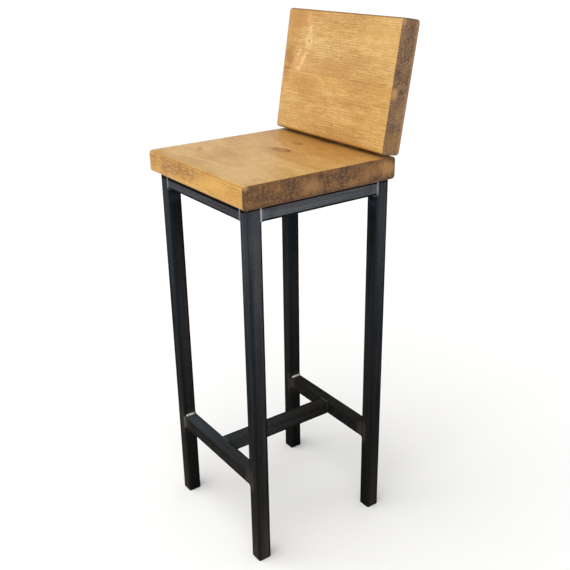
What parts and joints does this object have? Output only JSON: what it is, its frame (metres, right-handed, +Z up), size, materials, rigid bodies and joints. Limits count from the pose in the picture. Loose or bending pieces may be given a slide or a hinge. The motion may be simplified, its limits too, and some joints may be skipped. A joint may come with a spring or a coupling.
{
  "type": "bar stool",
  "caption": "Bar stool with an H-shaped lower frame whose front bar is the footrest, square steel legs, and a thick pine seat and low leaning back.",
  "frame": {"origin": "bottom centre of the whole stool's bounding box, on the floor", "axes": "+Z up; -Y is the front, where the sitter's feet rest; +X is on the right of a person who faces the front, and left and right in node names are that person's"},
  "size_m": [0.3014, 0.343, 0.917],
  "materials": {
    "raw_steel": "mill-scale box section under clear lacquer, blue-grey to near black",
    "flat_steel": "hot-rolled flat bar under clear lacquer",
    "weld_metal": "bright weld beads and ground-flush weld strips",
    "waxed_pine": "sanded softwood, honey wax, darker end grain",
    "black_plastic": "moulded black polyethylene",
    "zinc_screw": "yellow-zinc wood screws"
  },
  "bodies": {
    "root": {"leg_front_left": "raw_steel", "leg_front_right": "raw_steel", "leg_rear_left": "raw_steel", "leg_rear_right": "raw_steel", "top_rail_front": "raw_steel", "top_rail_rear": "raw_steel", "top_rail_left": "raw_steel", "top_rail_right": "raw_steel", "footrest_rail": "raw_steel", "rear_lower_rail": "raw_steel", "centre_stretcher": "raw_steel", "bracket_packer_left": "flat_steel", "bracket_packer_right": "flat_steel", "back_bracket_left": "flat_steel", "back_bracket_right": "flat_steel", "top_frame_welds": "weld_metal", "lower_rail_welds": "weld_metal", "stretcher_welds": "weld_metal", "bracket_welds": "weld_metal", "seat_board_front": "waxed_pine", "seat_board_rear": "waxed_pine", "back_board_lower": "waxed_pine", "back_board_upper": "waxed_pine", "foot_plug_front_left": "black_plastic", "foot_plug_front_right": "black_plastic", "foot_plug_rear_left": "black_plastic", "foot_plug_rear_right": "black_plastic", "seat_screws": "zinc_screw", "back_screws": "zinc_screw"}
  },
  "joints": []
}
